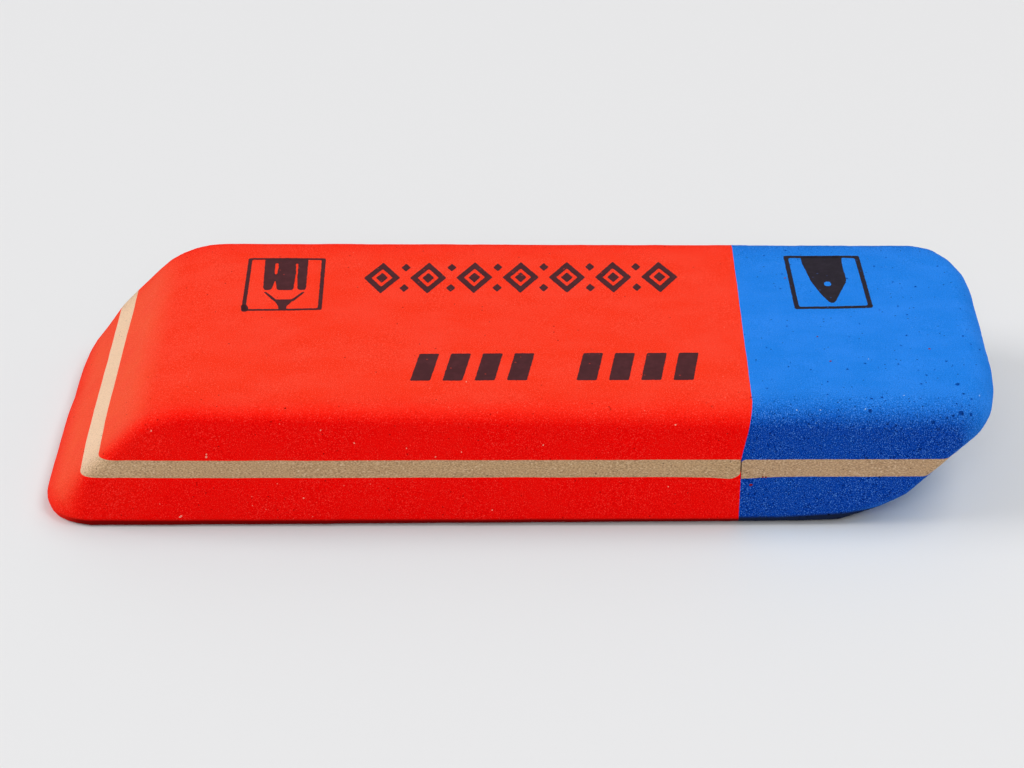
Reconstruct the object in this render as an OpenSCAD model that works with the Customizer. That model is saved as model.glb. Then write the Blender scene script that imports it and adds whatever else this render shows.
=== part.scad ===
// Slanted two-colour rubber eraser, with a soft red end and a gritty blue end.
// Red and blue are butt-joined, and each is bonded from three slabs: a bottom ply,
// a pale strip and a top ply. Both ends are cut on a slant, the same way round, and
// tumbling and use have softened every edge.
// Lengths are in millimetres and angles in degrees. The red tip points to -X, the
// blue nose to +X, the front is -Y, and the block rests on Z = 0.

/* [Block] */
// Length over both tips
length = 58; // [48:0.5:80]
// Width across the block
width = 20.8; // [18:0.1:30]
// Slant of the red end, from the table
red_slant = 45.5; // [38:0.1:70]
// Slant of the blue end, from the table
blue_slant = 46.8; // [38:0.1:70]

/* [Plies] */
// Thickness of the bottom ply
bottom_ply_h = 3.6; // [3:0.05:6]
// Thickness of the pale strip
strip_h = 1.25; // [0.8:0.05:3]
// Thickness of the top ply
top_ply_h = 3.45; // [3:0.05:6]

/* [Butt joint] */
// Length of the red rubber along the top, from the red tip to the joint
red_length = 42.85; // [24:0.05:44]
// How far the joint leans towards the red tip, down through the top ply
joint_lean = 0.45; // [0:0.05:1.5]
// Softened lower corner of the red strip, at the joint
red_strip_corner = 0.7; // [0.1:0.05:0.75]
// Softened upper corner of the blue strip, at the joint
blue_strip_corner = 0.35; // [0.1:0.05:0.75]

/* [Long edges] */
// Radius of the edges at the red end
red_edge_r = 0.75; // [0.4:0.05:1.5]
// Radius of the edges at the blue end
blue_edge_r = 1.6; // [0.4:0.05:2]

/* [Wear on the end edges, added to the edge radius] */
// Crown, where the red slant meets the top
crown_wear = 5.5; // [0:0.1:7]
// Heel, where the blue slant meets the table
heel_wear = 4; // [0:0.1:5]

/* [Wear on the corners in plan, added to the edge radius] */
// Front corner of the red tip, along the front
tip_front_along = 2.1; // [0:0.05:6]
// Front corner of the red tip, across the end
tip_front_across = 2.1; // [0:0.05:6]
// Back corner of the red tip, along the back
tip_back_along = 0.6; // [0:0.05:6]
// Back corner of the red tip, across the end
tip_back_across = 5.5; // [0:0.05:6]
// Height above which the corners of the red end are crisp
tip_wear_h = 3.2; // [2:0.1:4.5]
// Front corner of the blue end, along the front
blue_front_along = 1.55; // [0:0.05:6]
// Front corner of the blue end, across the end
blue_front_across = 5; // [0:0.05:6]
// Back corner of the blue end, along the back
blue_back_along = 1.95; // [0:0.05:6]
// Back corner of the blue end, across the end
blue_back_across = 4; // [0:0.05:6]

/* [Hidden] */

// Facets round a ball
ball_fn = 28;
// Steps of the arc that rounds an end edge, and of the curve of a worn corner
arc_steps = 5;
corner_steps = 4;
// Facets of the circle that softens a strip's corner
corner_circle_fn = 64;
// Share of its size by which a strip's corner is flatter than a quarter circle
corner_flatness = 0.25;
// How far the side views reach past the block
past = 1;

strip_z = bottom_ply_h;
top_ply_z = strip_z + strip_h;
height = top_ply_z + top_ply_h;
joint_x = red_length - length / 2 - joint_lean;
joint_top_x = joint_x + joint_lean;

crown_r = red_edge_r + crown_wear;
heel_r = blue_edge_r + heel_wear;
// Where each slanted face would meet the table or the top if its edges were sharp
sharp_tip_x = red_edge_r - length / 2 - red_edge_r / tan(red_slant / 2);
sharp_crown_x = sharp_tip_x + height / tan(red_slant);
sharp_nose_x = length / 2 - blue_edge_r + blue_edge_r / tan(blue_slant / 2);
sharp_heel_x = sharp_nose_x - height / tan(blue_slant);

// How far each corner is worn away, along its side and across its end. The first
// corner of a pair is the front one.
crisp_corners = [[0, 0], [0, 0]];
tip_corners = [[tip_front_along, tip_front_across], [tip_back_along, tip_back_across]];
blue_corners = [
    [blue_front_along, blue_front_across],
    [blue_back_along, blue_back_across]
];

module ball(r) {
    rotate_extrude($fn = ball_fn)
        intersection() {
            circle(r = r, $fn = ball_fn);
            translate([0, -r])
                square([r, 2 * r]);
        }
}

// A corner in plan: one ball where it is crisp, and balls along a quarter of an
// ellipse where it is worn. dir is -1 at the red end and 1 at the blue end, and side
// is -1 at the front and 1 at the back.
module corner(dir, side, x, z, edge_r, wear) {
    steps = wear == [0, 0] ? 0 : corner_steps;
    for (step = [0 : steps])
        let (angle = 90 * step / corner_steps)
            translate([
                x - dir * wear[0] * (1 - cos(angle)),
                side * (width / 2 - edge_r - wear[1] * (1 - sin(angle))),
                z
            ])
                ball(edge_r);
}

// Both corners of one end edge, set along the arc that rounds it about x and z.
module end_edge(dir, x, z, edge_r, wear, corners, angles) {
    steps = wear > 0 ? arc_steps : 0;
    for (step = [0 : steps])
        let (angle = angles[0] + (angles[1] - angles[0]) * step / arc_steps)
            for (side = [-1, 1])
                corner(dir, side, x + wear * cos(angle), z + wear * sin(angle),
                       edge_r, corners[side < 0 ? 0 : 1]);
}

// The red tip, and the crisp corners that start above it on the slant.
module red_tip() {
    end_edge(-1, red_edge_r - length / 2, red_edge_r, red_edge_r, 0, tip_corners,
             [180, 180]);
    end_edge(-1, sharp_tip_x + tip_wear_h / tan(red_slant) + red_edge_r / sin(red_slant),
             tip_wear_h, red_edge_r, 0, crisp_corners, [180, 180]);
}

module red_crown() {
    end_edge(-1, sharp_crown_x + crown_r * tan(red_slant / 2), height - crown_r,
             red_edge_r, crown_wear, crisp_corners, [90, 90 + red_slant]);
}

module blue_nose() {
    end_edge(1, length / 2 - blue_edge_r, height - blue_edge_r, blue_edge_r, 0,
             blue_corners, [0, 0]);
}

module blue_heel() {
    end_edge(1, sharp_heel_x - heel_r * tan(blue_slant / 2), heel_r,
             blue_edge_r, heel_wear, blue_corners, [-90, blue_slant - 90]);
}

// The whole block, stretched over the four rounded end edges.
module block() {
    hull() {
        red_tip();
        red_crown();
        blue_nose();
        blue_heel();
    }
}

// Side view of all that lies on one side of the joint. The joint stands upright as
// far as the top ply, and leans through it.
module half_view(dir) {
    out_x = dir * (length / 2 + past);
    above = past / top_ply_h;
    polygon([
        [joint_x, -past],
        [out_x, -past],
        [out_x, height + past],
        [joint_top_x + joint_lean * above, height + past],
        [joint_x, top_ply_z]
    ]);
}

// Side view of a slab on one side of the joint, between two heights.
module slab_view(dir, low, high) {
    intersection() {
        half_view(dir);
        translate([-length, low])
            square([2 * length, high - low]);
    }
}

// What is lost at a strip's softened corner. The square corner would be at the
// origin, with the strip on its upper left.
module lost_corner(size) {
    flat = size * corner_flatness;
    difference() {
        translate([-size, -size])
            square(2 * size);
        translate([-size - flat, size + flat])
            circle(r = norm([size + flat, flat]), $fn = corner_circle_fn);
    }
}

module red_strip_view() {
    difference() {
        slab_view(-1, strip_z, top_ply_z);
        translate([joint_x, strip_z])
            lost_corner(red_strip_corner);
    }
}

module blue_strip_view() {
    difference() {
        slab_view(1, strip_z, top_ply_z);
        translate([joint_x, top_ply_z])
            rotate(180)
                lost_corner(blue_strip_corner);
    }
}

// The rubber of the block inside a side view.
module of_block() {
    intersection() {
        block();
        rotate([90, 0, 0])
            linear_extrude(height = width + 2 * past, center = true)
                children();
    }
}

// The bottom red ply also fills the corner that its strip has lost.
module red_bottom_ply() {
    color("#e01008")
        of_block()
            difference() {
                slab_view(-1, -past, strip_z + red_strip_corner);
                red_strip_view();
            }
}

module red_pale_strip() {
    color("#d8c8a2")
        of_block()
            red_strip_view();
}

module red_top_ply() {
    color("#fb3c26")
        of_block()
            slab_view(-1, top_ply_z, height + past);
}

module blue_bottom_ply() {
    color("#153f92")
        of_block()
            slab_view(1, -past, strip_z);
}

module blue_pale_strip() {
    color("#dcbf93")
        of_block()
            blue_strip_view();
}

// The top blue ply also fills the corner that its strip has lost.
module blue_top_ply() {
    color("#2b83e7")
        of_block()
            difference() {
                slab_view(1, top_ply_z - blue_strip_corner, height + past);
                blue_strip_view();
            }
}

red_bottom_ply();
red_pale_strip();
red_top_ply();
blue_bottom_ply();
blue_pale_strip();
blue_top_ply();
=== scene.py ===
# %% [markdown]
# # A worn two-colour rubber eraser
#
# The eraser has a soft red end for pencil and a gritty blue end for ink. Each end is
# three slabs bonded together, with a pale one in the middle. The solid model already
# holds the true sizes, so this lesson takes its places from there and adds what a solid
# can't show: the grain of the rubber, its pores, the print, the crumbs and the light.

# %% Load the frame
import math
import random

import bpy
from mathutils import Matrix, Vector


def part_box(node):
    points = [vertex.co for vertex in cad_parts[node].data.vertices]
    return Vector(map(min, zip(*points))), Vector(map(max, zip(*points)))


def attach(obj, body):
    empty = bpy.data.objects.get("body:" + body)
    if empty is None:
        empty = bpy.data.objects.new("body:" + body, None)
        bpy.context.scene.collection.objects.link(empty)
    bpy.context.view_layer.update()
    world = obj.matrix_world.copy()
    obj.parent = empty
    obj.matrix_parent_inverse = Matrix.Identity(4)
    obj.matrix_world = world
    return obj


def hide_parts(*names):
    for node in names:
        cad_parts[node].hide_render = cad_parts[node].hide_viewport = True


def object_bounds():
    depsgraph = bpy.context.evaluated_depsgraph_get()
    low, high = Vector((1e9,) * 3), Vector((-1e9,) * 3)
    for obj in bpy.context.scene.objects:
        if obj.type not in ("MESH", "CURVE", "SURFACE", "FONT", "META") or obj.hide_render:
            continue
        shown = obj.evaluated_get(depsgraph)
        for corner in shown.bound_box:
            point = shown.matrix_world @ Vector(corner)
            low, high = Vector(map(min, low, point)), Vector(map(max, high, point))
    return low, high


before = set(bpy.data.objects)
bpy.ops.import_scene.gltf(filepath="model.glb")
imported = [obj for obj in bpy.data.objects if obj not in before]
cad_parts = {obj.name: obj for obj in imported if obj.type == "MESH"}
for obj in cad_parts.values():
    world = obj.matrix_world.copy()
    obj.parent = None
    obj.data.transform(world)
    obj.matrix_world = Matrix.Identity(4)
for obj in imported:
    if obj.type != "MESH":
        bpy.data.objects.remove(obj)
cad_low, cad_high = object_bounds()
mm = 0.001
print("solid model, in mm:", [round(side / mm, 2) for side in cad_high - cad_low])

# %% [markdown]
# ## Places that everything else is measured from
#
# The joint, the pale strip and the two corners that the slabs wrap are read off the
# solids, so a change of size there is followed here.

# %% Places
strip_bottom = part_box("red_pale_strip")[0].z
strip_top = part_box("red_pale_strip")[1].z
joint_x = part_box("red_pale_strip")[1].x
joint_top_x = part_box("red_top_ply")[1].x
red_strip_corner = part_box("red_bottom_ply")[1].z - strip_bottom
blue_strip_corner = strip_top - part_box("blue_top_ply")[0].z
front_y = cad_low.y
back_y = cad_high.y
top_z = cad_high.z
print("joint at", round(joint_x / mm, 2), "mm, strip from", round(strip_bottom / mm, 2),
      "to", round(strip_top / mm, 2), "mm")

# %% [markdown]
# ## Helpers for working by hand
#
# An operator acts on all that is selected, so each step first selects one object alone.
# Vertices are picked in edit mode by their place, the way a box select would. A finished
# piece keeps its place in its mesh, and its object stays at the origin.

# %% Helpers for selecting
def only(piece):
    """Selects one object alone and makes it the active one."""
    bpy.ops.object.select_all(action="DESELECT")
    piece.select_set(True)
    bpy.context.view_layer.objects.active = piece


def edit(piece):
    """Opens one object in edit mode, with all of its mesh selected."""
    only(piece)
    bpy.ops.object.mode_set(mode="EDIT")
    bpy.ops.mesh.select_mode(type="VERT")
    bpy.ops.mesh.select_all(action="SELECT")


def pick(piece, wanted):
    """In edit mode, selects just the vertices whose place passes a test."""
    bpy.ops.mesh.select_all(action="DESELECT")
    bpy.ops.object.mode_set(mode="OBJECT")
    for vertex in piece.data.vertices:
        vertex.select = wanted(vertex.co)
    bpy.ops.object.mode_set(mode="EDIT")


def done():
    """Goes back to object mode."""
    bpy.ops.object.mode_set(mode="OBJECT")


# %% Helpers for whole objects
def copy_of(piece, name):
    """A copy of an object with its own mesh."""
    copy = bpy.data.objects.new(name, piece.data.copy())
    bpy.context.scene.collection.objects.link(copy)
    return copy


def joined(pieces, name):
    """Joins several objects into one."""
    only(pieces[0])
    for piece in pieces[1:]:
        piece.select_set(True)
    bpy.ops.object.join()
    bpy.context.object.name = name
    return bpy.context.object


def apply(piece, modifier):
    """Applies one modifier to its object."""
    only(piece)
    bpy.ops.object.modifier_apply(modifier=modifier.name)


def fixed():
    """Puts the active object's place, turn and size into its mesh, and returns it."""
    bpy.ops.object.transform_apply(location=True, rotation=True, scale=True)
    return bpy.context.object


# %% [markdown]
# ## Camera
#
# A long lens from about 165 mm away looks down at the front edge by 33 degrees, as one
# looks at an eraser on a desk. It comes first, because each step is judged through it.

# %% Camera
bpy.ops.object.camera_add(
    location=(2.26 * mm, -138.6 * mm, 92.23 * mm),
    rotation=[math.radians(angle) for angle in (57.403, 0.642, 0.693)])
camera = bpy.context.object
camera.name = "camera"
camera.data.sensor_width = 36
camera.data.lens = 91.4
camera.data.clip_start = 1 * mm
bpy.context.scene.camera = camera
print("camera looks down by", round(90 - math.degrees(camera.rotation_euler.x), 1), "degrees")

# %% [markdown]
# ## The whole block
#
# The real eraser is pressed as a bonded sheet, cut into blocks and tumbled with the
# others in a drum, so all six slabs share one worn outline. It could be modelled slab by
# slab, but then the wear would break at each border. Instead the solids are joined, a
# hull is stretched over them, and a voxel remesh gives that hull an even skin whose faces
# are fine enough to carry grain. The slabs are cut out of it later.
#
# The solids are made of flat facets. Two smooth rods fill out the broad curves at the
# crown of the red end and the heel of the blue end, of which only the curve itself is
# kept, and a thin disc does the same for the front corner of the red tip. Small balls
# sharpen the lower edges, which are less worn than the upper ones, and square up the front
# corner of the blue end, as far as it is still crisp. Last, two places of the red end that
# use has worn back a little more are pushed in, with a soft falloff round them.

# %% Round shapes
front_mm = front_y / mm
back_mm = back_y / mm
tip_edge_r = 0.26
tip_corner_r = 2.85
tip_corner_x = -26.15
tip_ring_r = 2.48
blue_corner_r = 0.38


def curve_across(x, z, radius, half_length, outwards, upwards):
    """An eighth of a smooth rod across the block, from its top or its foot outwards, in mm."""
    bpy.ops.mesh.primitive_cylinder_add(vertices=180, radius=radius * mm,
                                        depth=2 * half_length * mm, location=(x * mm, 0, z * mm),
                                        rotation=(math.radians(90), 0, 0))
    rod = fixed()
    edit(rod)
    pick(rod, lambda place: outwards * (place.x / mm - x) < -0.01 or
         upwards * (place.z / mm - z) < 0.7 * radius)
    bpy.ops.mesh.delete(type="VERT")
    done()
    return rod


def ball(x, y, z, radius):
    """A smooth ball, in mm."""
    bpy.ops.mesh.primitive_uv_sphere_add(segments=48, ring_count=24, radius=radius * mm,
                                         location=(x * mm, y * mm, z * mm))
    return fixed()


def thin_disc(x, y, z, radius):
    """A disc that lies flat, in mm."""
    bpy.ops.mesh.primitive_cylinder_add(vertices=120, radius=radius * mm, depth=0.02 * mm,
                                        location=(x * mm, y * mm, z * mm))
    return fixed()


# %% Hull
shapes = []
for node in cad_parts.values():
    copy = copy_of(node, node.name + "_copy")
    copy.data.materials.clear()
    shapes.append(copy)
shapes.append(curve_across(x=-19.26, z=2.05, radius=6.25, half_length=9.65,
                           outwards=-1, upwards=1))
shapes.append(curve_across(x=20.88, z=5.6, radius=5.6, half_length=3.8,
                           outwards=1, upwards=-1))
for x, radius in ((-26, tip_edge_r), (17, 0.78), (19.3, 0.96)):
    for side in (-1, 1):
        shapes.append(ball(x, side * (back_mm - radius), radius, radius))
shapes.append(thin_disc(tip_corner_x, tip_corner_r + front_mm, 0.75, tip_corner_r))
for degrees in range(180, 271, 15):
    turn = math.radians(degrees)
    shapes.append(ball(tip_corner_x + tip_ring_r * math.cos(turn),
                       tip_corner_r + front_mm + tip_ring_r * math.sin(turn),
                       tip_edge_r, tip_edge_r))
for x, z in ((23.2, 2.46), (26.3, 5.93)):
    shapes.append(ball(x, blue_corner_r + front_mm, z, blue_corner_r))
block = joined(shapes, "block")
edit(block)
bpy.ops.mesh.delete(type="EDGE_FACE")
bpy.ops.mesh.select_all(action="SELECT")
bpy.ops.mesh.remove_doubles(threshold=0.001 * mm)
bpy.ops.mesh.convex_hull()
done()
print("the hull has", len(block.data.vertices), "vertices")

# %% Skin and worn places
def even_skin(piece, size, smoothing):
    """Gives a closed piece an even skin of small faces, and eases its corners."""
    remesh = piece.modifiers.new("Even skin", "REMESH")
    remesh.mode = "VOXEL"
    remesh.voxel_size = size
    apply(piece, remesh)
    settle = piece.modifiers.new("Settle", "SMOOTH")
    settle.factor = 0.5
    settle.iterations = smoothing
    apply(piece, settle)


def at_strip_corner(place):
    """Whether a place is on the front corner of the red slant, about as high as the strip."""
    return (place.y < -9.6 * mm and 2.6 * mm < place.z < 5.6 * mm
            and place.x < (-28.4 + place.z / mm) * mm)


def at_tip_back(place):
    """Whether a place is on the back of the red tip, near the table."""
    return place.x < -26.5 * mm and place.z < 1.8 * mm and place.y > 3 * mm


def push_in(wanted, x, y, falloff):
    """Moves the vertices that pass a test, and those round them less and less, in mm."""
    pick(block, wanted)
    bpy.ops.transform.translate(value=(x * mm, y * mm, 0), use_proportional_edit=True,
                                proportional_edit_falloff="SMOOTH",
                                proportional_size=falloff * mm)


even_skin(block, size=0.125 * mm, smoothing=3)
edit(block)
push_in(at_strip_corner, x=0.13, y=0.06, falloff=4.5)
push_in(at_tip_back, x=0.13, y=0, falloff=3)
done()
print("block has", len(block.data.vertices), "vertices")

# %% [markdown]
# ## Wear and grain
#
# Three things roughen the skin. Hands and tumbling leave shallow hollows a few
# millimetres wide. The rubber itself has a grain, finer than half a millimetre. And the
# cut sides are rougher than the pressed faces, most of all on the blue end, which is
# filled with pumice. Displace modifiers move the skin by some hundredths of a millimetre,
# and vertex groups say how much each place gets. The face on the table stays flat.

# %% Wear and grain
def clouds(name, size):
    """Soft noise whose spots are about so large."""
    texture = bpy.data.textures.new(name, "CLOUDS")
    texture.noise_scale = size
    texture.noise_depth = 1
    return texture


def roughen(piece, name, size, depth, group=""):
    """Moves the skin in and out by noise of one size."""
    push = piece.modifiers.new(name, "DISPLACE")
    push.texture = clouds(name, size)
    push.texture_coords = "LOCAL"
    push.strength = depth
    push.vertex_group = group
    apply(piece, push)


def skin_at(vertex):
    """0 on the face that rests on the table, 1 elsewhere."""
    return min(1, max(0, (vertex.normal.z + 0.98) / 0.3))


def side_share(vertex):
    """0 on the pressed faces and the ends, up to 1 on the cut front and back."""
    return min(1, max(0, (abs(vertex.normal.y) - 0.3) / 0.5))


def grit_at(vertex):
    """How rough the skin is: red is the finer rubber, and the cut sides are rougher."""
    if strip_bottom < vertex.co.z < strip_top:
        face, more_on_side = 0.1, 0.1
    elif vertex.co.x < joint_x:
        face, more_on_side = 0.08, 0.12
    else:
        face, more_on_side = 0.25, 0.4
    return (face + more_on_side * side_share(vertex)) * skin_at(vertex)


skin = block.vertex_groups.new(name="skin")
grit = block.vertex_groups.new(name="grit")
for vertex in block.data.vertices:
    skin.add([vertex.index], skin_at(vertex), "REPLACE")
    grit.add([vertex.index], grit_at(vertex), "REPLACE")
roughen(block, "hollows", size=2.6 * mm, depth=0.05 * mm, group="skin")
roughen(block, "grain", size=0.55 * mm, depth=0.07 * mm, group="grit")
roughen(block, "fine grain", size=0.24 * mm, depth=0.08 * mm, group="grit")
block.vertex_groups.clear()
print("roughened", len(block.data.vertices), "vertices")

# %% [markdown]
# ## Pits
#
# Where a grain of pumice has fallen out of the blue rubber it leaves a small open pit.
# The red rubber has few. One pit is modelled, as a dented ball, and copied to its places,
# each copy with its own size and turn. A few large ones are placed one by one round the
# worn nose, and the rest are strewn from a fixed seed. Pits keep clear of each other,
# because one cutter made of all of them then takes them out of the block in one cut.

# %% Places for pits
random.seed(11)


def on_skin(x, y, z):
    """The nearest place on the block's skin, and which way the skin faces there."""
    return block.closest_point_on_mesh(Vector((x, y, z)) * mm)[1:3]


def strewn(count, low_x, high_x, small, large):
    """Places for pits of random size, somewhat more on the front, back and edges."""
    places = []
    for _ in range(count):
        x = random.uniform(low_x, high_x)
        angle = random.uniform(-0.25 * math.pi, 1.25 * math.pi)
        place, normal = on_skin(x, 18 * math.cos(angle), 4 + 12 * math.sin(angle))
        size = small + (large - small) * random.random() ** 3
        places.append((place, normal, size * mm))
    return places


# The place and the size of each large pit, in mm.
big_pits = [(26.35, -10.1, 8.0, 0.19), (27.1, -10.0, 7.8, 0.13), (24.6, -10.4, 7.45, 0.14),
            (20.9, -10.0, 8.1, 0.13), (26.33, -7.52, 8.3, 0.17), (25.19, 3.97, 8.3, 0.1),
            (24.26, 0.54, 8.3, 0.08), (22.6, 1.1, 8.3, 0.07), (27.4, -2.04, 8.3, 0.1),
            (28.28, -3.16, 8.0, 0.09), (23.47, -3.1, 8.3, 0.08), (26.01, -4.93, 8.3, 0.09),
            (15.24, -3.31, 8.3, 0.07), (23.08, -5.25, 8.3, 0.08), (16.41, -5.51, 8.3, 0.07),
            (17.73, -5.82, 8.3, 0.07), (24.61, -6.5, 8.3, 0.09), (18.63, -7.22, 8.3, 0.08),
            (24.19, -7.5, 8.3, 0.1), (18.49, -8.63, 8.3, 0.08)]
wanted_pits = [on_skin(x, y, z) + (size * mm,) for x, y, z, size in big_pits]
wanted_pits += strewn(200, low_x=13.8, high_x=29.5, small=0.05, large=0.12)
wanted_pits += strewn(50, low_x=-29, high_x=13, small=0.04, large=0.07)
pits = []
for place, normal, size in wanted_pits:
    clear = all((place - other).length > 1.6 * (size + other_size)
                for other, _, other_size in pits)
    off_joint = abs(place.x - joint_x) > 0.5 * mm
    if clear and off_joint:
        pits.append((place, normal, size))
print(len(pits), "of", len(wanted_pits), "pits have room")

# %% Pits
def carve(piece, operation, cutter):
    """Cuts a piece. INTERSECT keeps what is inside the cutter, DIFFERENCE what is outside."""
    cut = piece.modifiers.new("Cut", "BOOLEAN")
    cut.operation = operation
    cut.solver = "MANIFOLD"
    cut.object = cutter
    apply(piece, cut)
    return piece


def remove(*pieces):
    """Deletes helpers that have done their work."""
    for piece in pieces:
        bpy.data.objects.remove(piece)


def dented_ball(offset, seed, stretch, sink=0):
    """A ball with dents, about 2 wide, stretched and then sunk below the origin."""
    bpy.ops.mesh.primitive_ico_sphere_add(subdivisions=2, radius=1)
    dented = bpy.context.object
    edit(dented)
    bpy.ops.transform.vertex_random(offset=offset, uniform=1, seed=seed)
    bpy.ops.transform.resize(value=stretch, center_override=(0, 0, 0))
    bpy.ops.transform.translate(value=(0, 0, -sink))
    done()
    return dented


def put_on_skin(shape, name, place, normal, size):
    """A copy of a shape that faces the way the skin does, spun by a random turn."""
    copy = copy_of(shape, name)
    turn = normal.to_track_quat("Z", "X").to_matrix().to_4x4()
    spin = Matrix.Rotation(random.uniform(0, 2 * math.pi), 4, "Z")
    copy.data.transform(Matrix.Translation(place) @ turn @ spin @ Matrix.Scale(size, 4))
    return copy


pit_shape = dented_ball(offset=0.18, seed=4, stretch=(1.1, 0.85, 1.4), sink=0.5)
pit_cutter = joined([put_on_skin(pit_shape, "pit", *pit) for pit in pits], "pit_cutter")
carve(block, "DIFFERENCE", pit_cutter)
remove(pit_cutter, pit_shape)
print("block with pits has", len(block.data.vertices), "vertices")

# %% [markdown]
# ## Cutters for the slabs
#
# Each border between two slabs is cut once, by a cutter that serves both of them, so that
# they meet without a gap. The cutters are boxes shaped in edit mode: one leans at the
# joint, and two have the soft corner that the strips got when the halves were pressed
# together. Real borders are never quite straight, so the cutters are subdivided and
# pushed about by some hundredths of a millimetre, and the strips sag a little near the
# joint. The top of the joint runs a little further towards the blue end at the front. The
# rooms of the strips reach just past the joint, so that each parts its half cleanly.

# %% Cutter at the joint
past = 2 * mm
front_shift = 0.24 * mm


def box_between(name, low, high):
    """A box between two corners, with its place in its mesh."""
    low = Vector(low)
    high = Vector(high)
    bpy.ops.mesh.primitive_cube_add(size=1, location=(low + high) / 2)
    box = bpy.context.object
    box.name = name
    box.scale = high - low
    return fixed()


def waver(cutter, cuts, direction, size, depth):
    """Makes the faces of a cutter waver along one axis."""
    edit(cutter)
    bpy.ops.mesh.subdivide(number_cuts=cuts)
    done()
    push = cutter.modifiers.new("Waver", "DISPLACE")
    push.texture = clouds("waver", size)
    push.texture_coords = "LOCAL"
    push.direction = direction
    push.strength = depth
    apply(cutter, push)


def red_side_cutter():
    """All that lies on the red side of the joint, which leans through the top slab."""
    cutter = box_between("red_side", (cad_low.x - past, front_y - past, -past),
                         (joint_x, back_y + past, top_z + past))
    edit(cutter)
    bpy.ops.mesh.bisect(plane_co=(0, 0, strip_top), plane_no=(0, 0, 1))
    pick(cutter, lambda place: place.x > 0 and place.z > top_z)
    lean = (joint_top_x - joint_x) * (top_z + past - strip_top) / (top_z - strip_top)
    bpy.ops.transform.translate(value=(lean, 0, 0))
    pick(cutter, lambda place: place.x > 0 and place.z > top_z and place.y < 0)
    bpy.ops.transform.translate(value=(front_shift, 0, 0))
    done()
    waver(cutter, cuts=24, direction="X", size=1.5 * mm, depth=0.05 * mm)
    return cutter


red_side = red_side_cutter()
print(red_side.name, "has", len(red_side.data.polygons), "faces")

# %% Cutters for the strips
reach = 0.07 * mm
close = 0.01 * mm


def strip_cutter(name, joint_end, far_end, corner_z, corner):
    """A strip between two heights, with one long corner softened at the joint."""
    cutter = box_between(name, (min(joint_end, far_end), front_y - past, strip_bottom),
                         (max(joint_end, far_end), back_y + past, strip_top))
    outward = math.copysign(1, far_end)
    edit(cutter)
    pick(cutter, lambda place: abs(place.x - joint_end) < close
         and abs(place.z - corner_z) < close)
    bpy.ops.mesh.bevel(offset=corner, segments=8, profile=0.5, affect="EDGES")
    for away in (3.5 * mm, 1.8 * mm):
        bpy.ops.mesh.select_all(action="SELECT")
        bpy.ops.mesh.bisect(plane_co=(joint_x + outward * away, 0, 0), plane_no=(1, 0, 0))
    for reached, sag in ((1 * mm, 0.09 * mm), (2 * mm, 0.04 * mm)):
        pick(cutter, lambda place: abs(place.x - joint_x) < reached
             and place.z < strip_bottom + 0.3 * (strip_top - strip_bottom))
        bpy.ops.transform.translate(value=(0, 0, -sag))
    done()
    waver(cutter, cuts=30, direction="Z", size=2.2 * mm, depth=0.035 * mm)
    return cutter


red_strip_room = strip_cutter("red_strip_room", joint_x + reach, cad_low.x - past,
                              strip_bottom, red_strip_corner + reach)
blue_strip_room = strip_cutter("blue_strip_room", joint_x - reach, cad_high.x + past,
                               strip_top, blue_strip_corner + reach)
for room in (red_strip_room, blue_strip_room):
    print(room.name, "has", len(room.data.polygons), "faces")

# %% [markdown]
# ## Six slabs
#
# The block is halved at the joint. Each half then gives up its strip, and what is left
# falls apart into a top and a bottom slab. The strips stop a hair short of the joint,
# because the pale rubber shrinks back there and shows a dark line.

# %% Slabs
hairline_half = 0.035 * mm


def triangles(piece):
    """How many triangles a mesh comes to."""
    return sum(len(face.vertices) - 2 for face in piece.data.polygons)


def top_and_bottom(half, room, top_name, bottom_name):
    """The two slabs that are left of a half when its strip is taken out."""
    rest = carve(copy_of(half, "rest"), "DIFFERENCE", room)
    edit(rest)
    bpy.ops.mesh.separate(type="LOOSE")
    done()
    parts = sorted(bpy.context.selected_objects, key=triangles)
    bottom, top = sorted(parts[-2:], key=lambda part: part.data.vertices[0].co.z)
    bottom.name = bottom_name
    top.name = top_name
    print(top_name, "and", bottom_name, "leave", len(parts) - 2, "slivers")
    remove(*parts[:-2])
    return top, bottom


red_half = carve(copy_of(block, "red_half"), "INTERSECT", red_side)
blue_half = carve(copy_of(block, "blue_half"), "DIFFERENCE", red_side)
hairline = box_between("hairline",
                       (joint_x - hairline_half, front_y - past, strip_bottom - past),
                       (joint_x + hairline_half, back_y + past, strip_top + past))
red_strip = carve(copy_of(red_half, "red_strip_rubber"), "INTERSECT", red_strip_room)
blue_strip = carve(copy_of(blue_half, "blue_strip_rubber"), "INTERSECT", blue_strip_room)
carve(red_strip, "DIFFERENCE", hairline)
carve(blue_strip, "DIFFERENCE", hairline)
red_top, red_bottom = top_and_bottom(red_half, red_strip_room,
                                     "red_top_rubber", "red_bottom_rubber")
blue_top, blue_bottom = top_and_bottom(blue_half, blue_strip_room,
                                       "blue_top_rubber", "blue_bottom_rubber")
remove(red_half, blue_half, red_side, red_strip_room, blue_strip_room, hairline)
for slab in (red_top, red_strip, red_bottom, blue_top, blue_strip, blue_bottom):
    print(slab.name, triangles(slab), "triangles")

# %% [markdown]
# ## Print
#
# Each end carries a small framed sign of what it rubs out: a pencil on the red end and
# a pen nib on the blue. Between them lie two lines of print, here a plain ornament of
# lozenges and a row of slanted bars. The signs are drawn as flat curves with slightly
# round corners, as type is. Each becomes a thick mesh with an uneven edge, and what it
# shares with a copy of the slab, raised by the thickness of the ink, is the ink itself.
# So the ink follows every bump of the rubber.

# %% Curves for print
drawing_half_height = 0.3


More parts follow.
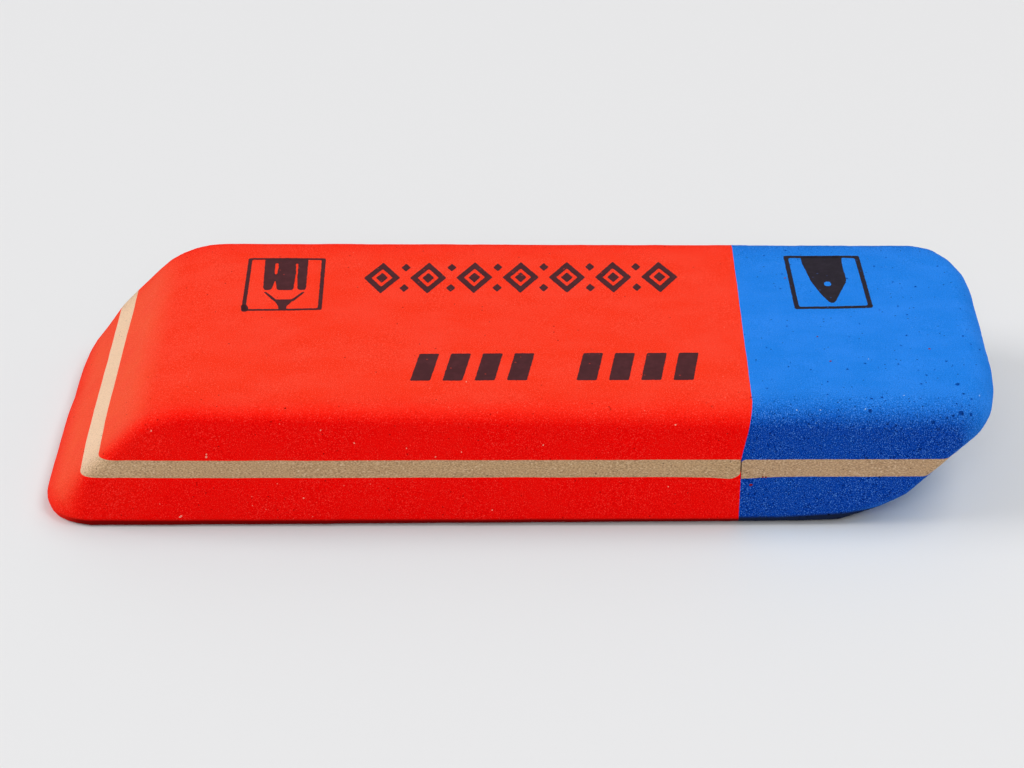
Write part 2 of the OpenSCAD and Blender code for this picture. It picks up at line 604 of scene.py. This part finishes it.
def drawing(name, outlines, softness):
    """A flat curve through outlines given in mm, whose corners are cut round."""
    curve = bpy.data.curves.new(name, "CURVE")
    curve.dimensions = "2D"
    curve.fill_mode = "BOTH"
    curve.extrude = drawing_half_height
    curve.resolution_u = 3
    for outline in outlines:
        spline = curve.splines.new("BEZIER")
        spline.use_cyclic_u = True
        spline.bezier_points.add(2 * len(outline) - 1)
        corners = [Vector((x, y, 0)) for x, y in outline]
        for index, corner in enumerate(corners):
            before = corners[index - 1] - corner
            after = corners[(index + 1) % len(corners)] - corner
            start = spline.bezier_points[2 * index]
            end = spline.bezier_points[2 * index + 1]
            start.co = corner + before.normalized() * min(softness, before.length / 2.2)
            end.co = corner + after.normalized() * min(softness, after.length / 2.2)
            start.handle_left_type = "VECTOR"
            end.handle_right_type = "VECTOR"
            start.handle_right = start.co.lerp(corner, 0.6)
            end.handle_left = end.co.lerp(corner, 0.6)
    drawn = bpy.data.objects.new(name, curve)
    bpy.context.scene.collection.objects.link(drawn)
    return drawn


# %% Ink on a slab
ink_thickness = 0.012 * mm
drawing_lift = 0.18 * mm


def move(piece, x, y, z):
    """Moves a piece and keeps its place in its mesh."""
    only(piece)
    piece.location = (x, y, z)
    fixed()


def printed(name, outlines, slab, softness):
    """Ink on a slab, from outlines in mm. An outline inside another leaves a hole."""
    drawn = drawing(name, outlines, softness)
    only(drawn)
    bpy.ops.object.convert(target="MESH")
    ink = bpy.context.object
    edit(ink)
    bpy.ops.mesh.remove_doubles(threshold=0.001)
    bpy.ops.mesh.normals_make_consistent(inside=False)
    done()
    even_skin(ink, size=0.045, smoothing=1)
    roughen(ink, "ink edge", size=0.16, depth=0.05)
    ink.scale = (mm, mm, mm)
    move(ink, 0, 0, top_z + drawing_lift)
    raised = copy_of(slab, "raised")
    move(raised, 0, 0, ink_thickness)
    carve(ink, "INTERSECT", raised)
    remove(raised)
    print(name, triangles(ink), "triangles")
    return ink


# %% Signs
def framed(corners, side_stroke, level_stroke):
    """The outer and inner outline of a frame, with the strokes of its sides and levels."""
    middle = sum((Vector(corner) for corner in corners), Vector((0, 0))) / len(corners)
    inner = []
    for corner in corners:
        x, y = Vector(corner) - middle
        inner.append((corner[0] - math.copysign(side_stroke, x),
                      corner[1] - math.copysign(level_stroke, y)))
    return [corners, inner]


def oval(x, y, half_width, half_height):
    """Eight corners of an oval about a place."""
    turns = [2 * math.pi * step / 8 for step in range(8)]
    return [(x + half_width * math.cos(turn), y + half_height * math.sin(turn))
            for turn in turns]


pencil_frame = framed([(-17.55, 7.9), (-12.53, 7.85), (-12.34, 1.32), (-17.39, 1.25)],
                      side_stroke=0.25, level_stroke=0.2)
pencil_blot = [(-17.48, 1.9), (-17.33, 2.15), (-17.1, 1.98), (-16.95, 1.5), (-17.03, 1.15),
               (-17.38, 1.15)]
pencil_body = [(-16.46, 7.75), (-16.27, 4.09), (-16.14, 3.83), (-15.8, 3.83), (-15.71, 4.04),
               (-15.6, 4.95), (-15.54, 4.95), (-15.42, 4.04), (-15.32, 3.82), (-14.4, 3.8),
               (-14.33, 3.98), (-14.33, 5.98), (-14.42, 7.16), (-14.26, 7.16), (-14.19, 5.45),
               (-14.07, 3.97), (-13.95, 3.82), (-13.61, 3.81), (-13.53, 4.02), (-13.66, 7.75)]
pencil_slit = [(-15.75, 7.23), (-15.55, 7.22), (-15.5, 6.63), (-15.54, 5.76), (-15.68, 5.76),
               (-15.74, 6.53)]
pencil_left = [(-16.18, 3.58), (-16.03, 3.58), (-15.3, 2.63), (-15.43, 2.43)]
pencil_right = [(-14.2, 2.42), (-14.33, 2.63), (-13.73, 3.55), (-13.58, 3.52)]
pencil_lead = [(-15.46, 2.63), (-14.17, 2.65), (-14.58, 1.81), (-14.56, 1.35), (-15.05, 1.35),
               (-15.11, 1.81)]
nib_frame = framed([(17.12, 7.96), (21.99, 7.92), (22.25, 1.37), (17.34, 1.22)],
                   side_stroke=0.29, level_stroke=0.28)
nib = [(18.22, 7.85), (18.24, 7.0), (18.38, 6.2), (18.52, 5.35), (18.66, 4.56), (18.96, 3.62),
       (19.25, 2.79), (19.56, 2.1), (19.77, 1.95), (19.98, 2.15), (20.27, 2.99), (20.62, 3.92),
       (20.88, 4.65), (20.88, 5.39), (20.82, 6.24), (20.82, 7.0), (20.86, 7.85)]
vent = oval(19.66, 4.32, half_width=0.25, half_height=0.34)

inks = [printed("pencil_sign_frame", pencil_frame, red_top, softness=0.16),
        printed("pencil_sign_body", [pencil_body, pencil_slit], red_top, softness=0.08),
        printed("pencil_sign_blot", [pencil_blot], red_top, softness=0.2),
        printed("pencil_sign_point", [pencil_left, pencil_right, pencil_lead], red_top,
                softness=0.05),
        printed("nib_sign_frame", nib_frame, blue_top, softness=0.16),
        printed("nib_sign_nib", [nib, vent], blue_top, softness=0.2)]

# %% Ornament
def lozenge(x, y, half_width, half_height):
    """A lozenge about a place."""
    return [(x - half_width, y), (x, y + half_height), (x + half_width, y), (x, y - half_height)]


lozenge_count = 7
lozenge_spacing = 2.96
lozenges = []
for step in range(lozenge_count):
    x = -8.75 + lozenge_spacing * step
    for half_width, half_height in ((1.16, 1.95), (0.68, 1.14), (0.38, 0.64)):
        lozenges.append(lozenge(x, 5.3, half_width, half_height))
    if step < lozenge_count - 1:
        for y in (6.6, 4.0):
            lozenges.append(lozenge(x + lozenge_spacing / 2, y, half_width=0.3, half_height=0.5))

bar_spacing = 1.94
bar_foot = -6.95
bar_head = -3.9
bars = []
for start in (-6.4, 3.6):
    for step in range(4):
        x = start + bar_spacing * step
        bars.append([(x, bar_foot), (x + 0.45, bar_head), (x + 1.65, bar_head),
                     (x + 1.2, bar_foot)])

inks += [printed("lozenge_print", lozenges, red_top, softness=0.06),
         printed("bar_print", bars, red_top, softness=0.1)]

# %% [markdown]
# ## Paint kit
#
# Each finish is built from a few layers of noise on object coordinates, so the grain is
# in the rubber and doesn't slide when the view changes. These helpers add a node, join
# it up and give back its output.

# %% Nodes
def new_material(name):
    """An empty material with a Principled shader."""
    material = bpy.data.materials.new(name)
    material.use_nodes = True
    return material


def shader_of(material):
    """The Principled shader of a material."""
    return material.node_tree.nodes["Principled BSDF"]


def fill(material, node, inputs):
    """Links each input of a node that is given a socket, and sets any other."""
    for name, value in inputs.items():
        if isinstance(value, bpy.types.NodeSocket):
            material.node_tree.links.new(value, node.inputs[name])
        else:
            node.inputs[name].default_value = value


def add_node(material, kind, inputs, **options):
    """Adds a node to a material, or to the sky, and fills its inputs."""
    node = material.node_tree.nodes.new("ShaderNode" + kind)
    for name, value in options.items():
        setattr(node, name, value)
    fill(material, node, inputs)
    return node


def surface(material, base, roughness, gloss):
    """Gives a material its colour, its roughness and its share of gloss."""
    fill(material, shader_of(material), {"Base Color": base, "Roughness": roughness,
                                         "Specular IOR Level": gloss})


# %% Patterns and colours
def place_in(material):
    """Where a point lies on the object, in metres."""
    return add_node(material, "TexCoord", {}).outputs["Object"]


def noise(material, size, detail=2, seed=0, along=1):
    """Noise from 0 to 1 whose spots are about so large, and so many times longer along X."""
    shifted = add_node(material, "Mapping", {"Vector": place_in(material),
                                             "Location": (seed, seed / 2, seed / 3),
                                             "Scale": (1 / along, 1, 1)})
    made = add_node(material, "TexNoise", {"Vector": shifted.outputs[0], "Scale": 1 / size,
                                           "Detail": detail, "Roughness": 0.6})
    return made.outputs["Fac"]


def between(material, value, low, high):
    """0 where a value is at low or beyond, 1 at high or beyond, and smooth between."""
    made = add_node(material, "MapRange", {"Value": value, "From Min": low, "From Max": high},
                    interpolation_type="SMOOTHSTEP")
    return made.outputs["Result"]


def reckon(material, operation, first, second=0):
    """Arithmetic on two values."""
    made = add_node(material, "Math", {0: first, 1: second}, operation=operation)
    return made.outputs[0]


def blend(material, share, first, second):
    """Mixes two colours."""
    made = add_node(material, "Mix", {0: share, 6: first, 7: second}, data_type="RGBA")
    return made.outputs[2]


def colour(red, green, blue):
    """A colour from three shares of 255, as a paint program gives them."""
    shares = [share / 255 for share in (red, green, blue)]
    return tuple(share / 12.92 if share < 0.04045 else ((share + 0.055) / 1.055) ** 2.4
                 for share in shares) + (1,)


def brighter(tone, factor, lift=0):
    """A colour made brighter, as far as each of its parts can go."""
    return tuple(min(1, factor * share + lift) for share in tone[:3]) + (1,)


def times(material, first, second):
    """Two amounts multiplied."""
    return reckon(material, "MULTIPLY", first, second)


def dots(material, cell, radius, share, seed):
    """1 inside small round dots, which fill a share of all cells, and 0 outside."""
    shifted = add_node(material, "Mapping", {"Vector": place_in(material),
                                             "Location": (seed, seed / 2, seed / 3)})
    cells = add_node(material, "TexVoronoi", {"Vector": shifted.outputs[0], "Scale": 1 / cell})
    dot = between(material, cells.outputs["Distance"], radius / cell, 0.5 * radius / cell)
    chance = add_node(material, "SeparateColor", {"Color": cells.outputs["Color"]})
    kept = reckon(material, "LESS_THAN", chance.outputs["Red"], share)
    return times(material, dot, kept)


# %% [markdown]
# ## Rubber
#
# An eraser isn't one flat colour. The pressed faces carry a chalky bloom that makes them
# paler and warmer, the slanted end most of all, and the cut sides show the deeper colour
# inside. Part of this is painted light: painted sheen on the pressed faces, a painted
# highlight on the slanted end, and painted shade on the cut sides. The colour doesn't
# change at a line: it deepens over the last millimetre before the edge, as the bloom wears
# off and the painted sheen gives way to the painted shade. The lowest half millimetre of
# the long sides is painted darker, a painted shade where they meet the table, and that
# band rises under the heel of the blue end. Near the table the red also turns towards its
# deeper colour. Fine grain covers everything, stronger on the cut sides, open pores show
# as dark dots, and grains of filler as light ones. One recipe makes all the rubbers, and
# each gets its own colours and amounts.
#
# Saturated rubber also throws its colour on the table. Under broad soft light that glow
# is weak, so the rays that carry it there meet a greyer tone. What the camera sees of the
# rubber itself stays the same.

# %% Rubber recipe
mottle_size = 2.2 * mm
grain_size = 0.062 * mm
relief_size = 0.09 * mm
relief_depth = 0.015 * mm
heel_starts = 15.8 * mm
heel_ends = 21 * mm
heel_rises = 0.36 * mm


def depth_in(material):
    """How far a point lies inwards from the plane of the cut front or back."""
    across = add_node(material, "SeparateXYZ", {"Vector": place_in(material)}).outputs["Y"]
    return reckon(material, "SUBTRACT", back_y, reckon(material, "ABSOLUTE", across))


def near_cut(material, fade):
    """1 on the cut front and back, falling off inwards from their planes."""
    share = reckon(material, "EXPONENT", reckon(material, "DIVIDE", depth_in(material), -fade))
    return reckon(material, "MINIMUM", share, 1)


def graded(material, near, amounts):
    """An amount that goes from the one on the pressed faces to the one on the cut sides."""
    face, side = amounts
    return reckon(material, "ADD", face, times(material, near, side - face))


def rubber(name, face, side, end, speck, pore, foot_shade, fade, dark_grain, light_grain,
           dark_dots, glow, streak=1, foot_shade_top=0.52 * mm, low_tone=0, glow_from=0.3 * mm):
    """Rubber with a pale face and a deeper cut side, partly painted sheen and shade, a painted
    shade at its foot, fine grain, pores and specks.
    """
    material = new_material(name)
    place = add_node(material, "SeparateXYZ", {"Vector": place_in(material)})
    height = place.outputs["Z"]
    near = near_cut(material, 1.8 * fade)
    # Near the table, below about 2.6 mm, the colour also turns towards the side colour, deeper
    # towards the bottom.
    low = times(material, between(material, height, 2.6 * mm, 0.7 * mm), low_tone)
    cut = reckon(material, "MAXIMUM", near_cut(material, fade), low)
    facing = add_node(material, "SeparateXYZ",
                      {"Vector": add_node(material, "TexCoord", {}).outputs["Normal"]})
    # Painted highlight in part: where the skin faces the way of the slanted red end, the end
    # colour takes over, which is bloom and a painted highlight.
    on_end = between(material, facing.outputs["X"], -0.35, -0.76)
    base = blend(material, on_end, face, end)
    # Painted light in part: the cut sides take the side colour, which is painted shade as well
    # as the deeper inside, and the pressed faces keep a paler colour that holds painted sheen as
    # well as bloom.
    base = blend(material, cut, base, side)

    mottle = between(material, noise(material, mottle_size, detail=3, along=1.6), 0.3, 0.75)
    calm = reckon(material, "SUBTRACT", 0.5, times(material, cut, 0.48))
    base = blend(material, times(material, mottle, calm), base, brighter(face, 1.15, 0.02))

    fine = noise(material, grain_size, detail=1, seed=3, along=streak)
    dark = times(material, between(material, fine, 0.55, 0.3),
                 graded(material, near, dark_grain))
    light = times(material, between(material, fine, 0.55, 0.78),
                  graded(material, near, light_grain))
    base = blend(material, dark, base, pore)
    base = blend(material, light, base, speck)
    holes = dots(material, cell=0.25 * mm, radius=0.06 * mm, seed=1,
                 share=graded(material, near, (0.25 * dark_dots, dark_dots)))
    base = blend(material, times(material, holes, 0.75), base, pore)
    flecks = dots(material, cell=0.4 * mm, radius=0.05 * mm, share=0.02, seed=2)
    base = blend(material, times(material, flecks, 0.5), base, speck)

    # Painted shade: the lowest half millimetre or so of the long sides takes the darkest colour
    # given, as the shade where the rubber meets the table. The band rises under the heel of the
    # blue end and fades out at the red tip.
    rising = add_node(material, "MapRange",
                      {"Value": place.outputs["X"], "From Min": heel_starts,
                       "From Max": heel_ends, "To Max": heel_rises})
    over = reckon(material, "SUBTRACT", height, rising.outputs["Result"])
    foot_shade_share = times(material,
                   between(material, over, foot_shade_top + 0.12 * mm, foot_shade_top - 0.14 * mm),
                   between(material, depth_in(material), 1.7 * mm, 0.9 * mm))
    foot_shade_share = times(material, foot_shade_share,
                   between(material, place.outputs["X"], -28.6 * mm, -26.2 * mm))
    base = blend(material, foot_shade_share, base, foot_shade)

    carried = times(material, add_node(material, "LightPath", {}).outputs["Is Diffuse Ray"],
                    between(material, height, glow_from, glow_from + 1 * mm))
    base = blend(material, carried, base, glow)
    surface(material, base, roughness=0.85, gloss=0.03)
    relief = reckon(material, "SUBTRACT", noise(material, relief_size, seed=5), holes)
    bump = add_node(material, "Bump", {"Height": relief, "Strength": 0.4,
                                       "Distance": relief_depth})
    fill(material, shader_of(material), {"Normal": bump.outputs["Normal"]})
    return material


# %% Red and blue rubber
# Besides the bloom, each face and end colour holds painted sheen and each side colour painted
# shade, and the colour given for the foot is a painted shade.
red_rubber = rubber("red rubber", face=colour(252, 55, 28), side=colour(255, 2, 0),
                    end=colour(255, 88, 55), speck=colour(255, 150, 130),
                    pore=colour(140, 4, 4), foot_shade=colour(118, 5, 3), fade=0.92 * mm,
                    dark_grain=(0.16, 0.28), light_grain=(0.36, 0.2), dark_dots=0.06,
                    glow=colour(84, 88, 108), low_tone=0.8)
blue_rubber = rubber("blue rubber", face=colour(30, 128, 231), side=colour(1, 66, 176),
                     end=colour(30, 128, 231), speck=colour(104, 165, 230),
                     pore=colour(1, 18, 76), foot_shade=colour(24, 34, 60), fade=0.72 * mm,
                     dark_grain=(0.2, 0.82), light_grain=(0.34, 0.86), dark_dots=0.3,
                     glow=colour(10, 134, 205), foot_shade_top=0.68 * mm, glow_from=0)
print("made", red_rubber.name, "and", blue_rubber.name)

# %% Pale rubber
red_side_pale = rubber("pale rubber of the red end", face=colour(235, 200, 168),
                       side=colour(195, 159, 119), end=colour(248, 210, 176),
                       speck=colour(244, 226, 198), pore=colour(98, 74, 56),
                       foot_shade=colour(98, 74, 56), fade=0.75 * mm, dark_grain=(0.2, 0.48),
                       light_grain=(0.4, 0.55), dark_dots=0.12, glow=colour(120, 110, 105),
                       streak=2)
blue_side_pale = rubber("pale rubber of the blue end", face=colour(232, 194, 156),
                        side=colour(193, 158, 122), end=colour(232, 194, 156),
                        speck=colour(242, 224, 198), pore=colour(98, 74, 58),
                        foot_shade=colour(98, 74, 58), fade=0.75 * mm, dark_grain=(0.2, 0.5),
                        light_grain=(0.4, 0.6), dark_dots=0.12, glow=colour(110, 110, 115),
                        streak=2)
print("made", red_side_pale.name, "and", blue_side_pale.name)

# %% [markdown]
# ## Ink
#
# The ink is a thin black that went straight on the rubber, so it is uneven, and a little
# warmer on the red end. One flat black would look like a sticker. Here soft noise makes it
# paler in places, and small dots let the rubber show through.

# %% Ink
def printing_ink(name, tone, showing):
    """Thin black ink, in which tiny places are missing and the rubber shows."""
    material = new_material(name)
    mottle = between(material, noise(material, 0.5 * mm), 0.35, 0.8)
    base = blend(material, mottle, tone, brighter(tone, 1.35))
    gaps = dots(material, cell=0.3 * mm, radius=0.08 * mm, share=0.1, seed=4)
    base = blend(material, times(material, gaps, 0.5), base, showing)
    surface(material, base, roughness=0.7, gloss=0.08)
    return material


ink_on_red = printing_ink("ink on the red rubber", colour(68, 33, 37), colour(190, 60, 45))
ink_on_blue = printing_ink("ink on the blue rubber", colour(34, 29, 38), colour(60, 90, 150))
for ink in inks:
    ink.data.materials.clear()
    ink.data.materials.append(ink_on_blue if ink.name.startswith("nib") else ink_on_red)
    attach(ink, "root")
print(len(inks), "prints are inked")

# %% [markdown]
# ## Crumbs and flecks
#
# Crumbs rub off a used eraser and cling to it: red ones on the blue rubber, and pale
# flecks of filler along the red front. One lump is modelled, and copied to each place
# with its own size and turn, sunk to its middle in the skin. The lumps of a kind are
# joined into one piece.

# %% Crumbs
lump = dented_ball(offset=0.22, seed=7, stretch=(1.3, 0.9, 0.6))


def crumbs(name, places, finish):
    """Lumps on the skin, from places and sizes in mm."""
    whole = joined([put_on_skin(lump, "lump", *on_skin(x, y, z), size * mm)
                    for x, y, z, size in places], name)
    whole.data.materials.append(finish)
    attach(whole, "root")
    print(name, triangles(whole), "triangles")


def plain(name, tone):
    """One matt colour."""
    material = new_material(name)
    surface(material, tone, roughness=0.8, gloss=0.05)
    return material


crumbs("red_crumbs", [(17.02, 5.1, 8.3, 0.06), (18.46, -2.06, 8.3, 0.05),
                      (19.01, -4.89, 8.3, 0.06), (25.16, -3.54, 8.3, 0.06),
                      (14.02, -12, 2.96, 0.09), (14.75, -12, 3.47, 0.06),
                      (14.9, -12, 3.48, 0.06)],
       plain("red crumb", colour(130, 22, 20)))
crumbs("pale_flecks", [(-3.02, -7.09, 8.3, 0.05), (9.41, -12, 7.65, 0.05),
                       (-21.76, -12, 7.12, 0.05), (-11.63, -12, 7.08, 0.045),
                       (-9.62, -12, 6.07, 0.045), (1.58, -12, 5.89, 0.045),
                       (-6.59, -12, 5.81, 0.04), (-3.3, -12, 5.44, 0.04),
                       (-18.57, -12, 5.16, 0.07), (-18.53, -12, 5.27, 0.05),
                       (-4.83, -12, 5.09, 0.045), (9.07, -12, 2.91, 0.04),
                       (-12.85, -12, 2.09, 0.045), (-1.52, -12, 1.24, 0.04),
                       (-20.45, -12, 0.72, 0.06), (-20.38, -12, 0.85, 0.05)],
       plain("pale fleck", colour(250, 150, 130)))
crumbs("blue_flecks", [(21.33, -4.67, 8.3, 0.045), (27.77, -8.35, 8.3, 0.045),
                       (23.01, -8.76, 8.3, 0.045), (16.6, -10, 8.2, 0.04),
                       (18, -10, 8.2, 0.04), (20.65, -9.9, 8.2, 0.04)],
       plain("blue fleck", colour(150, 190, 235)))
remove(lump)

# %% [markdown]
# ## Paint on the slabs
#
# A Boolean leaves the materials of its cutters behind, so each slab's slots are emptied
# before it gets its rubber. Smooth shading hides the small faces of the skin, except where
# two of them meet at more than 55 degrees, which keeps the cut borders crisp.

# %% Paint the slabs
for slab, finish in ((red_top, red_rubber), (red_bottom, red_rubber),
                     (red_strip, red_side_pale), (blue_top, blue_rubber),
                     (blue_bottom, blue_rubber), (blue_strip, blue_side_pale)):
    slab.data.materials.clear()
    slab.data.materials.append(finish)
    only(slab)
    bpy.ops.object.shade_smooth_by_angle(angle=math.radians(55))
    print(slab.name, "is made of", finish.name)

# %% [markdown]
# ## Say what each slab stands for
#
# Every slab moves with the object's one body and takes the place of a solid, which stays
# in the physical model. The block itself has done its work.

# %% Ride and replace
for slab, node_name, slot_name in (
        (red_top, "red_top_ply", "red_rubber"),
        (red_strip, "red_pale_strip", "red_side_pale_rubber"),
        (red_bottom, "red_bottom_ply", "red_rubber"),
        (blue_top, "blue_top_ply", "blue_rubber"),
        (blue_strip, "blue_pale_strip", "blue_side_pale_rubber"),
        (blue_bottom, "blue_bottom_ply", "blue_rubber")):
    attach(slab, "root")
    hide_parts(node_name)
    print(slab.name, "stands for", node_name)
remove(block)

# %% [markdown]
# ## Floor and light
#
# A plain pale table under three large soft lamps and a dim sky. Two lamps stand left and
# right, so that the front of the block throws almost no shadow towards the viewer, and a
# weaker one in front lifts the front face. The sky fills the rest. What is seen past the
# edge of the table, or in a gloss, is paler than the light that the sky gives, and far from
# the block the table fades into that same tone, so that no horizon shows.

# %% Floor
backdrop_tone = 0.8
floor_size = 4

bpy.ops.mesh.primitive_plane_add(size=floor_size, location=(0, 0, 0))
floor = bpy.context.object
floor.name = "floor"
floor_paint = new_material("floor paint")
surface(floor_paint, colour(231, 231, 232), roughness=0.5, gloss=0.15)
from_block = add_node(floor_paint, "VectorMath", {0: place_in(floor_paint)}, operation="LENGTH")
far = between(floor_paint, from_block.outputs["Value"], 0.25, 0.7)
seen_far = times(floor_paint, far,
                 add_node(floor_paint, "LightPath", {}).outputs["Is Camera Ray"])
backdrop = add_node(floor_paint, "Emission", {"Strength": backdrop_tone})
faded = add_node(floor_paint, "MixShader", {0: seen_far,
                                            1: shader_of(floor_paint).outputs["BSDF"],
                                            2: backdrop.outputs["Emission"]})
fill(floor_paint, floor_paint.node_tree.nodes["Material Output"], {"Surface": faded.outputs[0]})
floor.data.materials.append(floor_paint)
print("floor is", floor_size, "m wide")

# %% Sky
sky_light = 0.35
sky = bpy.data.worlds.new("sky")
bpy.context.scene.world = sky
sky.use_nodes = True
path = add_node(sky, "LightPath", {})
seen = reckon(sky, "MAXIMUM", path.outputs["Is Camera Ray"], path.outputs["Is Glossy Ray"])
seen = reckon(sky, "MAXIMUM", seen, path.outputs["Is Transmission Ray"])
strength = add_node(sky, "MapRange", {"Value": seen, "To Min": sky_light,
                                      "To Max": backdrop_tone})
fill(sky, sky.node_tree.nodes["Background"], {"Color": (1, 1, 1, 1),
                                              "Strength": strength.outputs[0]})
print("sky gives", sky_light, "and is seen as", backdrop_tone)

# %% Lamps
lamp_size = 0.72


def soft_lamp(name, place, energy):
    """A large round lamp, aimed at the block."""
    bpy.ops.object.light_add(type="AREA", location=place)
    lamp = bpy.context.object
    lamp.name = name
    lamp.data.shape = "DISK"
    lamp.data.size = lamp_size
    lamp.data.energy = energy
    lamp.rotation_euler = lamp.location.to_track_quat("Z", "Y").to_euler()


soft_lamp("left lamp", (-0.95, 0, 0.8), energy=5.5)
soft_lamp("right lamp", (0.57, 0, 1.06), energy=5.4)
soft_lamp("front lamp", (0, -0.92, 0.77), energy=3.6)

bpy.context.scene.view_settings.view_transform = "Standard"
